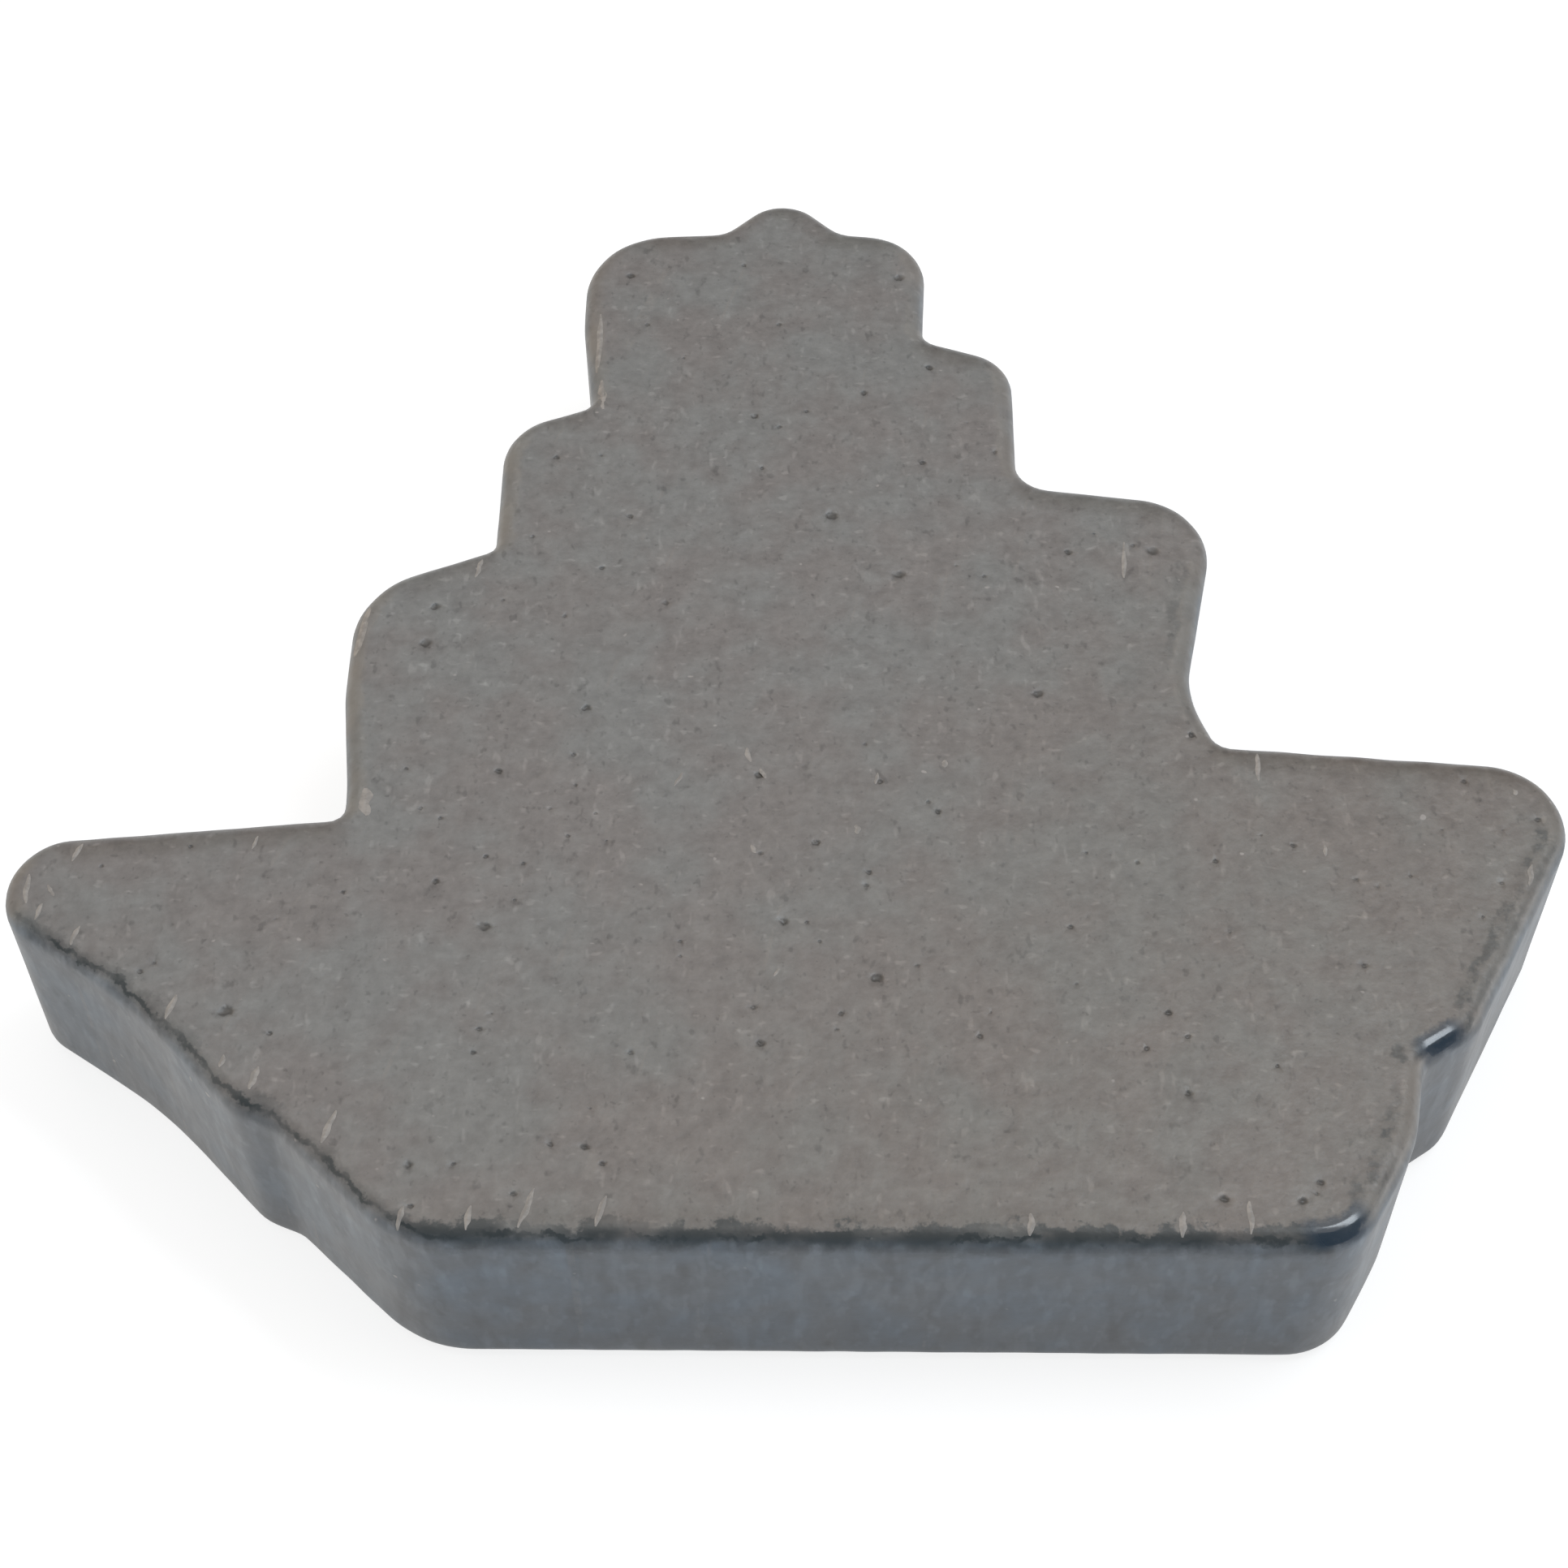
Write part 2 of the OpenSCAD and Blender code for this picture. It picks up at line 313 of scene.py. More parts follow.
def dented_ring(outline, normals, inset, z):
    """One ring of the edge at its inset and height, pushed in by shallow dents of the wall."""
    ring = np.column_stack([outline - normals * inset[:, None], z])
    for i, (x, y, height) in enumerate(ring):
        swell = wander(x, y, height * WALL_STREAK_SHARE, WALL_LUMP, WALL_SEED)
        dent = WALL_WAVE * (0.5 + 0.5 * swell)
        lean = min(1.0, max(0.0, 1 - inset[i] / RIM_R))
        ring[i, :2] -= normals[i] * dent * lean
    return ring


def edge_runs(rings):
    """How far each ring's points lie down the edge, in mm from the upper face."""
    runs = [np.zeros(len(rings[0]))]
    for upper, lower in zip(rings, rings[1:]):
        runs.append(runs[-1] + np.linalg.norm(lower - upper, axis=1))
    return [run / MM for run in runs]


def edge_faces(levels, count):
    """Quads between neighbouring rings of the edge."""
    return [
        [k * count + i, (k + 1) * count + i, (k + 1) * count + j, k * count + j]
        for k in range(levels - 1)
        for i, j in ((i, (i + 1) % count) for i in range(count))
    ]


# The lacquer's faces and pores

def depth_within(points, ring, normals):
    """How far each point lies within the ring, and the ring's normal nearest to it."""
    depths, nearest = [], []
    for part in np.array_split(points, max(1, len(points) // POINTS_AT_A_TIME)):
        away = part[:, None, :] - ring[None, :, :]
        near = (away**2).sum(2).argmin(1)
        gap = away[np.arange(len(part)), near]
        depths.append(-(gap * normals[near]).sum(1))
        nearest.append(normals[near])
    return np.concatenate(depths), np.concatenate(nearest)


def inside(points, ring, normals, margin):
    """Whether each point lies within the ring by the margin."""
    return depth_within(points, ring, normals)[0] > margin


def face_points(ring, normals, step, spots, rng):
    """Evenly scattered points within the ring, with closer rings of points round each pore."""
    low, high = ring.min(0), ring.max(0)
    rows = np.arange(low[1], high[1], step * math.sqrt(3) / 2)
    cloud = []
    for k, y in enumerate(rows):
        xs = np.arange(low[0] + (k % 2) * step / 2, high[0], step)
        cloud.append(np.column_stack([xs, np.full(len(xs), y)]))
    cloud = np.concatenate(cloud)
    cloud += rng.uniform(-CLOUD_SPREAD_SHARE, CLOUD_SPREAD_SHARE, cloud.shape) * step
    keep = inside(cloud, ring, normals, RIM_CLEARANCE_SHARE * step)
    for x, y, r, _ in spots:
        keep &= np.hypot(cloud[:, 0] - x, cloud[:, 1] - y) > PORE_REACH_SHARE * r
    cloud = [cloud[keep]]
    for x, y, r, stretch in spots:
        for share, count in PORE_RINGS:
            a = np.arange(count) * 2 * math.pi / count + share
            cloud.append(
                np.column_stack([x + np.cos(a) * r * share * stretch, y + np.sin(a) * r * share])
            )
    return np.concatenate(cloud)


def spread_face(ring, normals, step, spots, seed):
    """Triangles that fill the ring: (inner points, faces), where the ring's own points come first."""
    rng = np.random.default_rng(seed)
    cloud = face_points(ring, normals, step, spots, rng)
    both = np.concatenate([ring, cloud]) / MM
    loop = [list(range(len(ring)))]
    _, _, faces, origin, _, _ = geometry.delaunay_2d_cdt(
        [Vector(p) for p in both], [], loop, 1, JOIN_GAP_MM
    )
    source = [o[0] if o else -1 for o in origin]
    faces = [[source[i] for i in f] for f in faces if all(source[i] >= 0 for i in f)]
    return cloud, faces


def pit(x, y, spots):
    """How deep a point lies in an open pore, from 0 to 1."""
    deep = 0.0
    for px, py, r, stretch in spots:
        gap = math.hypot((x - px) / stretch, y - py) / r
        if gap < PORE_REACH_SHARE:
            gap += PORE_RAGGED_SHARE * wander(x, y, px, PORE_LUMP_SHARE * r, PORE_SEED)
            full = min(1.0, r / PORE_FULL_R)
            fallen = min(1.0, max(0.0, (PORE_END_SHARE - gap) / PORE_FALL_SHARE))
            deep = max(deep, full * fallen)
    return deep


def photo_pores():
    """The photographed pores: (x, y, radius, stretch along the grain)."""
    spots = []
    for across, down, radius in PORES_PX:
        place = on_face(across, down)
        beside = on_face(across + radius, down)
        spots.append((place.x, place.y, (beside - place).length * PORE_SHARE, PORE_STRETCH))
    return spots


def scattered_pores(count, ring, normals, seed, taken):
    """Small pores strewn over a face, clear of each other."""
    rng = random.Random(seed)
    apart = SMALL_PORE_RADII_APART
    spots = []
    while len(spots) < count:
        x, y = rng.uniform(LOW.x, HIGH.x), rng.uniform(LOW.y, HIGH.y)
        r = rng.choice(SMALL_PORE_RADII_MM) * MM
        if not inside(np.array([[x, y]]), ring, normals, SMALL_PORE_MARGIN)[0]:
            continue
        if all(math.hypot(x - a, y - b) > apart * (r + c) for a, b, c, _ in taken + spots):
            spots.append((x, y, r, rng.uniform(*SMALL_PORE_STRETCHES)))
    return spots


# The lacquer's mesh

class Skin:
    """The lacquer while it is put together: points with their traits, and faces."""

    def __init__(self):
        self.points, self.edge, self.outward, self.pore = [], [], [], []
        self.faces = []

    def count(self):
        """How many points it has."""
        return sum(len(part) for part in self.points)

    def add_points(self, points, edge, outward, pore):
        """Adds points, each with its run down the edge in mm, its nearest normal and its pore's depth."""
        self.points.append(points)
        self.edge.append(edge)
        self.outward.append(outward)
        self.pore.append(pore)

    def mesh(self, name):
        """The mesh, with the traits as attributes that the material reads."""
        mesh = bpy.data.meshes.new(name)
        mesh.from_pydata(np.concatenate(self.points).tolist(), [], self.faces)
        outward = np.concatenate(self.outward)
        for trait, values in (
            ("pore", np.concatenate(self.pore)),
            ("edge", np.concatenate(self.edge)),
            ("to_front", -outward[:, 1]),
            ("to_left", -outward[:, 0]),
        ):
            mesh.attributes.new(trait, "FLOAT", "POINT").data.foreach_set("value", values)
        mesh.polygons.foreach_set("use_smooth", [True] * len(mesh.polygons))
        mesh.update()
        return mesh


def add_edge(skin, rings, runs, normals):
    """The rolled rims and the wall."""
    skin.add_points(
        np.concatenate(rings),
        np.concatenate(runs),
        np.tile(normals, (len(rings), 1)),
        np.zeros(len(rings) * len(normals)),
    )
    skin.faces += edge_faces(len(rings), len(normals))


def add_face(skin, ring, normals, first, up, step, spots, seed, run):
    """The upper (up 1) or lower (up -1) face, which shares the ring's points from the given first one."""
    cloud, triangles = spread_face(ring, normals, step, spots, seed)
    hollow = np.array([pit(x, y, spots) for x, y in cloud])
    wave = np.array([wander(x, y, seed * MM, FACE_LUMP) - 1 for x, y in cloud]) / 2
    level = THICK if up > 0 else 0.0
    height = level + up * (FACE_WAVE * wave - PORE_DEPTH * hollow)
    depth, nearest = depth_within(cloud, ring, normals)
    start = skin.count() - len(ring)
    skin.add_points(np.column_stack([cloud, height]), run - up * depth / MM, nearest, hollow)
    skin.faces += [
        [first + i if i < len(ring) else start + i for i in f[::up]] for f in triangles
    ]


def add_inner_surface(skin, inner):
    """The film's inner surface, as the frame has it."""
    points, faces = inner
    start = skin.count()
    plain = np.zeros(len(points))
    skin.add_points(points, plain, np.zeros((len(points), 2)), plain)
    skin.faces += [[start + i for i in f] for f in faces]


def lacquer_mesh(inner, outline, normals):
    """The film: its outer surface with rims, wall, faces and pores, and its inner one from the frame."""
    rings = edge_points(outline, normals)
    runs = edge_runs(rings)
    top, bottom = rings[0][:, :2], rings[-1][:, :2]
    large = photo_pores()
    small = scattered_pores(SMALL_PORES, top, normals, SMALL_PORE_SEED, large)
    under = scattered_pores(UNDER_PORES, bottom, normals, UNDER_PORE_SEED, [])
    last_ring = (len(rings) - 1) * len(outline)
    skin = Skin()
    add_edge(skin, rings, runs, normals)
    add_face(skin, top, normals, 0, 1, FACE_STEP, large + small, FACE_SEED, 0.0)
    add_face(skin, bottom, normals, last_ring, -1, UNDER_STEP, under, UNDER_SEED, runs[-1].mean())
    add_inner_surface(skin, inner)
    return skin.mesh("lacquer_skin")


# Colours of the lacquer and the wood

FACE_WARM = (0.215, 0.190, 0.172, 1)
FACE_COOL = (0.200, 0.191, 0.176, 1)
# Painted light across the face: a shade darker and warmer toward the stern, paler and cooler toward the
# bow.
STERN_LIGHT_TINT = (0.985, 0.965, 0.955, 1)
BOW_LIGHT_TINT = (1.045, 1.06, 1.095, 1)
# The walls' greys, darker and bluer than the face's: partly the side grain's own colour, partly painted
# shade and painted cool light.
WALL_WARM = (0.178, 0.176, 0.178, 1)
WALL_COOL = (0.154, 0.168, 0.184, 1)
# The rim's dark line: pooled lacquer and a painted reflection of the dark surroundings.
DARK_RIM = (0.038, 0.044, 0.045, 1)
# Painted dark reflection round the glints.
DARK_GLINT_REFLECTION = (0.024, 0.040, 0.060, 1)
BACK_RIM = (0.79, 0.77, 0.74, 1)
RUBBED_RIM = (0.30, 0.262, 0.222, 1)
# Painted shade in the open pores, deeper than their shallow pits give.
PORE_SHADE = (0.078, 0.070, 0.062, 1)
PALE_SPECK = (0.40, 0.36, 0.335, 1)
RAY_TAN = (0.275, 0.240, 0.212, 1)
TAN_WOOD = (0.39, 0.348, 0.315, 1)
DULL_TAN = (0.285, 0.258, 0.235, 1)
DARK_WOOD = (0.60, 0.42, 0.27, 1)
PALE_WOOD = (0.72, 0.55, 0.38, 1)
WOOD_PORE = (0.33, 0.22, 0.14, 1)

# Patterns: stretch of x, y and z, shift in mm, scale per mm, detail, roughness
GRAIN = ((1, 1, 1), 0.0, 4.9, 2.0, 0.5)
MOTTLE = ((1, 1, 1), 0.0, 1.8, 4.0, 0.66)
BLOTCH = ((1.3, 1.3, 0.5), 0.0, 0.9, 2.0, 0.5)
CLOUDS = ((1, 1, 1), 0.0, 0.45, 3.0, 0.6)
DRIFT = ((1, 1, 1), 0.0, 1.7, 4.0, 0.68)
WEAR = ((0.8, 1, 1), 5.0, 1.6, 3.0, 0.6)
PATCHES = ((0.5, 1, 1), 0.0, 1.3, 2.0, 0.5)
BREAKS = ((1, 1, 1), 9.0, 2.2, 3.0, 0.6)
RUB = ((1, 1, 1), 0.0, 0.7, 2.0, 0.5)
SPECKS = ((1, 1.3, 1), 0.0, 3.1, 1.0, 0.3)
FLECK_GRAIN = ((1, 1, 1), 0.0, 5.0, 2.0, 0.6)
WOOD_RINGS = ((0.35, 1, 0.1), 0.0, 1.2, 4.0, 0.6)
WOOD_GRAIN = ((1.0, 0.5, 0.1), 0.0, 9.0, 2.0, 0.5)

# Rays in the lacquer: factors along the growth rings, across them and up the trunk, and the pattern
RAY_FACTORS = (5.5, 0.16, 0.12)
RAY_PATTERN = (1.0, 1.5, 0.4)

# Marks in the lacquer: stretch, shift, scale, where a mark begins and is full, change of tone
FACE_MARKS = [
    ((1.0, 1.7, 1.0), 3.0, 2.7, 0.63, 0.77, 0.30),
    ((1.9, 0.9, 1.0), 17.0, 2.2, 0.64, 0.78, 0.26),
    ((1.6, 1.1, 1.0), 7.0, 3.0, 0.62, 0.77, -0.26),
    ((1.0, 1.0, 1.0), 11.0, 6.5, 0.66, 0.77, -0.22),
]
WALL_MARKS = [
    ((2.4, 2.4, 0.8), 23.0, 1.0, 0.50, 0.66, 0.24),
    ((1.9, 1.9, 0.7), 29.0, 1.1, 0.50, 0.68, -0.22),
    ((3.0, 3.0, 1.4), 31.0, 1.2, 0.56, 0.70, 0.24),
]
MARK_DETAIL = 1.5
MARK_ROUGHNESS = 0.5

# Changes of tone by the grain, the mottling and the clouds, and by how much less the first two on walls
GRAIN_CHANGE = 0.34
MOTTLE_CHANGE = 0.66
CLOUD_CHANGE = 0.30
WALL_CALM_SHARE = -0.3

# Steps: where a value begins and ends its change, and what it gives before and after if not 0 and 1
BLOTCH_STEPS = (0.1, 0.8, 1.5, 1.2)
WALL_SHADE_STEPS = (0.9, 6.0, 0.0, 0.38)
FLAT_STEPS = (0.45, 0.95)
HUE_STEPS = (0.34, 0.66)
LIGHT_ACROSS_STEPS_MM = (-20.0, 2.0)
RAY_STEPS = (0.66, 0.74, 0.0, 0.26)
RAY_MOTTLE_STEPS = (0.42, 0.6)
SPECK_STEPS = (0.78, 0.84, 0.0, 0.8)
PORE_SHADE_SHARE = 0.85

# The dark line along the rims that look to the front, wider where the front is straight: pooled lacquer,
# and a painted reflection of the dark surroundings.
# A rise is where a line begins and is full, and a fall or end where it fades, in mm down the edge.
FRONT_STEPS = (0.25, 0.90)
STRAIGHT_STEPS = (0.88, 0.99)
RIGHT_HIGHER_STEPS = (-0.7, -0.2, 0.07, 0.0)
LEFT_HIGHER_STEPS = (0.2, 0.5, 0.0, 0.06)
LINE_DRIFT = 0.75
LINE_WEAR_STEPS = (0.36, 0.60, 0.46, 0.94)
LINE_RISE = (0.18, 0.27)
LINE_FALL = 0.33
LINE_END = 0.43
LINE_END_MORE = 0.07
# The ragged patches above that line
FRINGE_DRIFT = 1.2
FRINGE_PATCH_STEPS = (0.36, 0.60, 0.4, 1.0)
FRINGE_DEPTH = 0.34
FRINGE_DEPTH_MORE = 0.52
FRINGE_RISE = (-0.06, 0.10)
FRINGE_FALL = 0.34
FRINGE_END = 0.50
FRINGE_END_MORE = 0.45
# The broken line along the stern's edge
STERN_RIGHT_STEPS = (-0.95, -0.7, 1.0, 0.0)
STERN_FRONT_STEPS = (0.1, 0.35)
STERN_DRIFT = 0.6
STERN_BREAK_STEPS = (0.44, 0.58, 0.08, 0.66)
STERN_RISE = (-0.34, -0.22)
STERN_FALL = (-0.06, 0.08)

# The browner band along the rims that look back and right
BAND_DRIFT = 0.5
BAND_RISE = (-0.55, -0.02)
BAND_FALL = (0.02, 0.20)
BAND_FRONT_STEPS = (-0.7, 0.5, 1.0, 0.45)
BAND_LEFT_RISE = (-0.9, -0.4)
BAND_LEFT_FALL = (0.1, 0.7)
BAND_STERN_SHARE = 0.65

# The tan rub along the rims at the sides
RUB_LEFT_STEPS = (0.55, 0.95)
RUB_RIGHT_STEPS = (-0.95, -0.55, 0.8, 0.0)
RUB_DRIFT = 0.5
RUB_RISE = (-0.12, 0.06)
RUB_FALL = (0.40, 0.60)
RUB_PATCH_STEPS = (0.38, 0.6, 0.3, 1.0)
RUB_SHARE = 0.42

# The painted dark reflections and the polish round the glints: reaches as shares of a glint's own, runs
# in mm
REFLECTION_REACH_SHARES = (1.0, 1.9)
REFLECTION_DRIFT = 0.5
REFLECTION_RISE = (-0.24, -0.06)
REFLECTION_FALL = (0.40, 0.66)
REFLECTION_SHARE = 0.82
POLISH_REACH_SHARES = (0.7, 1.25)
POLISH_RISE = (-0.15, 0.0)
POLISH_FALL = (0.4, 0.6)
POLISH_SMOOTHING = 0.28
POLISH_BUMP_SHARE = -0.9

# Gloss and bump of the lacquer
ROUGHNESS = 0.31
ROUGHNESS_CHANGE = 0.22
BUMP_BLOTCH = 1.3
BUMP_MOTTLE = 0.8
BUMP_WALL = 0.13
BUMP_FACE_MORE = 0.32
BUMP_HEIGHT = 0.03 * MM

# The wood's rings, gloss and bump, and the gloss of the flecks
WOOD_PORE_STEPS = (0.58, 0.7, 0.0, 0.5)
WOOD_ROUGHNESS = 0.55
WOOD_BUMP = 0.3
WOOD_BUMP_HEIGHT = 0.02 * MM
FLECK_STEPS = (0.35, 0.65)
FLECK_ROUGHNESS = 0.5
GRAIN_ROUGHNESS = 0.2


# Materials

# The sockets of a Mix node that hold colours
MIX_FIRST = 6
MIX_SECOND = 7
MIX_RESULT = 2


class Nodes:
    """A node tree with short calls for the nodes used here."""

    def __init__(self, tree):
        self.tree = tree

    def node(self, kind, inputs=None, **settings):
        """A new node with its inputs set or linked."""
        made = self.tree.nodes.new(kind)
        for key, value in settings.items():
            setattr(made, key, value)
        for key, value in (inputs or {}).items():
            self.put(made.inputs[key], value)
        return made

    def put(self, socket, value):
        """Links another node's output to the socket, or sets the value."""
        if isinstance(value, bpy.types.NodeSocket):
            self.tree.links.new(value, socket)
        else:
            socket.default_value = value

    def shade(self, name, value):
        """Sets or links an input of the material's own shader."""
        self.put(self.tree.nodes["Principled BSDF"].inputs[name], value)

    def math(self, operation, a, b=0.0, c=0.0):
        """A Math node's result."""
        return self.node("ShaderNodeMath", {0: a, 1: b, 2: c}, operation=operation).outputs[0]

    def centred(self, value):
        """The value less a half."""
        return self.math("SUBTRACT", value, 0.5)

    def steps(self, value, low, high, to_low=0.0, to_high=1.0):
        """A smooth step from to_low below low to to_high above high."""
        inputs = {
            "Value": value, "From Min": low, "From Max": high, "To Min": to_low, "To Max": to_high
        }
        return self.node(
            "ShaderNodeMapRange", inputs, interpolation_type="SMOOTHSTEP"
        ).outputs["Result"]

    def band(self, value, rise, fall):
        """1 between the end of the rise and the start of the fall, and 0 outside both."""
        return self.math("MULTIPLY", self.steps(value, *rise), self.steps(value, *fall, 1.0, 0.0))

    def mix(self, share, a, b, blend="MIX"):
        """The second colour over the first, by a share."""
        made = self.node("ShaderNodeMix", data_type="RGBA", blend_type=blend)
        self.put(made.inputs["Factor"], share)
        self.put(made.inputs[MIX_FIRST], a)
        self.put(made.inputs[MIX_SECOND], b)
        return made.outputs[MIX_RESULT]

    def noise(self, where, scale, detail, rough):
        """Noise at the given places, from 0 to 1."""
        inputs = {"Vector": where, "Scale": scale, "Detail": detail, "Roughness": rough}
        return self.node("ShaderNodeTexNoise", inputs).outputs["Fac"]

    def pattern(self, stretch, shift, scale, detail, rough):
        """Noise over the object, from 0 to 1."""
        return self.noise(self.place(stretch, shift), scale, detail, rough)

    def attribute(self, name):
        """A trait of the mesh's points."""
        return self.node("ShaderNodeAttribute", attribute_name=name).outputs["Fac"]

    def place(self, stretch=(1, 1, 1), shift=0.0):
        """Place in the object in mm, with each axis multiplied and moved along."""
        at = self.node("ShaderNodeTexCoord").outputs["Object"]
        inputs = {"Vector": at, "Scale": Vector(stretch) / MM, "Location": (shift, -shift, shift)}
        return self.node("ShaderNodeMapping", inputs).outputs["Vector"]

    def axes(self, vector):
        """The vector's x, y and z."""
        return self.node("ShaderNodeSeparateXYZ", {0: vector}).outputs


def new_material(name):
    """A new material, and its nodes."""
    material = bpy.data.materials.new(name)
    material.use_nodes = True
    return material, Nodes(material.node_tree)


def along_tree(n, factors):
    """Place in the tree in mm, along the growth rings, across them and up the trunk, each multiplied."""
    at = n.axes(n.place())
    x = n.math("SUBTRACT", at["X"], PITH.x / MM)
    y = n.math("SUBTRACT", at["Y"], PITH.y / MM)
    far = n.math("SQRT", n.math("ADD", n.math("MULTIPLY", x, x), n.math("MULTIPLY", y, y)))
    angle = n.math("ARCTAN2", x, n.math("MULTIPLY", y, -1.0))
    turn = n.math("MULTIPLY", angle, PITH.length / MM)
    along, out, up = (n.math("MULTIPLY", axis, by) for axis, by in zip((turn, far, at["Z"]), factors))
    return n.node("ShaderNodeCombineXYZ", {0: along, 1: out, 2: up}).outputs[0]


def core_line(n, edge, drift, straight):
    """The line itself, pooled lacquer and painted dark reflection: higher where the edge looks to a side,
    worn in places, from 0 to 1.
    """
    to_left = n.attribute("to_left")
    higher = n.math(
        "ADD", n.steps(to_left, *RIGHT_HIGHER_STEPS), n.steps(to_left, *LEFT_HIGHER_STEPS)
    )
    line = n.math("MULTIPLY_ADD", drift, LINE_DRIFT, n.math("ADD", edge, higher))
    worn = n.steps(n.pattern(*WEAR), *LINE_WEAR_STEPS)
    end = n.math("MULTIPLY_ADD", straight, LINE_END_MORE, LINE_END)
    return n.math("MULTIPLY", n.band(line, LINE_RISE, (LINE_FALL, end)), worn)


def ragged_fringe(n, edge, drift, straight):
    """The ragged patches of pooled lacquer and painted dark reflection above the line, deeper on the
    straight front, from 0 to 1.
    """
    ragged = n.math("MULTIPLY_ADD", drift, FRINGE_DRIFT, edge)
    patches = n.steps(n.pattern(*PATCHES), *FRINGE_PATCH_STEPS)
    deeper = n.math("MULTIPLY_ADD", straight, FRINGE_DEPTH_MORE, FRINGE_DEPTH)
    depth = n.math("MULTIPLY", patches, deeper)
    end = n.math("MULTIPLY_ADD", straight, FRINGE_END_MORE, FRINGE_END)
    return n.math("MULTIPLY", n.band(ragged, FRINGE_RISE, (FRINGE_FALL, end)), depth)


def stern_side(n):
    """1 where the edge looks right and a little to the front, and 0 elsewhere."""
    right = n.steps(n.attribute("to_left"), *STERN_RIGHT_STEPS)
    return n.math("MULTIPLY", right, n.steps(n.attribute("to_front"), *STERN_FRONT_STEPS))


def stern_line(n, edge, drift):
    """The broken dark line on the face along the stern's edge, from 0 to 1."""
    broken = n.steps(n.pattern(*BREAKS), *STERN_BREAK_STEPS)
    line = n.math("MULTIPLY_ADD", drift, STERN_DRIFT, edge)
    line = n.math("MULTIPLY", n.band(line, STERN_RISE, STERN_FALL), broken)
    return n.math("MULTIPLY", line, stern_side(n))


def rim_line(n, edge, drift):
    """Where the rim is dark, from 0 to 1: pooled lacquer, with a painted reflection of the dark
    surroundings on the rims that look to the front.
    """
    to_front = n.attribute("to_front")
    straight = n.steps(to_front, *STRAIGHT_STEPS)
    core = core_line(n, edge, drift, straight)
    fringe = ragged_fringe(n, edge, drift, straight)
    front = n.steps(to_front, *FRONT_STEPS)
    # Painted reflection: the line and its patches only where the rim looks to the front.
    pooled_and_reflected = n.math("MULTIPLY", n.math("MAXIMUM", core, fringe), front)
    return n.math("MAXIMUM", pooled_and_reflected, stern_line(n, edge, drift))


def back_band(n, edge, drift):
    """Where the lacquer is a shade browner along the rims that look back and right, from 0 to 1."""
    line = n.math("MULTIPLY_ADD", drift, BAND_DRIFT, edge)
    band = n.band(line, BAND_RISE, BAND_FALL)
    side = n.steps(n.attribute("to_front"), *BAND_FRONT_STEPS)
    across = n.band(n.attribute("to_left"), BAND_LEFT_RISE, BAND_LEFT_FALL)
    stern = n.math("MULTIPLY", stern_side(n), BAND_STERN_SHARE)
    return n.math("MULTIPLY", band, n.math("MAXIMUM", n.math("MULTIPLY", side, across), stern))


def rubbed_line(n, edge, drift):
    """Where the rim is rubbed to a paler tan on the sides that look left and right, from 0 to 1."""
    to_left = n.attribute("to_left")
    side = n.math("ADD", n.steps(to_left, *RUB_LEFT_STEPS), n.steps(to_left, *RUB_RIGHT_STEPS))
    line = n.math("MULTIPLY_ADD", drift, RUB_DRIFT, edge)
    near = n.band(line, RUB_RISE, RUB_FALL)
    patch = n.steps(n.pattern(*RUB), *RUB_PATCH_STEPS)
    return n.math("MULTIPLY", n.math("MULTIPLY", near, side), n.math("MULTIPLY", patch, RUB_SHARE))


def near_glints(n, inner_share, outer_share):
    """1 within a share of each polished stretch's reach and 0 beyond another."""
    near = 0.0
    for across, down, reach in GLINTS_PX:
        middle = on_face(across, down) / MM
        reach_mm = (on_face(across + reach, down) / MM - middle).length
        gap = n.node("ShaderNodeVectorMath", {0: n.place(), 1: middle}, operation="DISTANCE")
        inner, outer = inner_share * reach_mm, outer_share * reach_mm
        near = n.math("MAXIMUM", near, n.steps(gap.outputs["Value"], inner, outer, 1.0, 0.0))
    return near


def painted_glint_reflection(n, edge, drift):
    """Painted dark reflections round the glints, from 0 to 1."""
    around = n.band(n.math("MULTIPLY_ADD", drift, REFLECTION_DRIFT, edge), REFLECTION_RISE, REFLECTION_FALL)
    near = n.math("MULTIPLY", around, near_glints(n, *REFLECTION_REACH_SHARES))
    return n.math("MULTIPLY", near, REFLECTION_SHARE)


def marked(n, light, marks, share):
    """The tone with pale and dark marks on the given share of the surface."""
    for stretch, shift, scale, low, high, change in marks:
        spots = n.pattern(stretch, shift, scale, MARK_DETAIL, MARK_ROUGHNESS)
        mark = n.math("MULTIPLY", n.steps(spots, low, high, 0.0, change), share)
        light = n.math("ADD", light, mark)
    return light


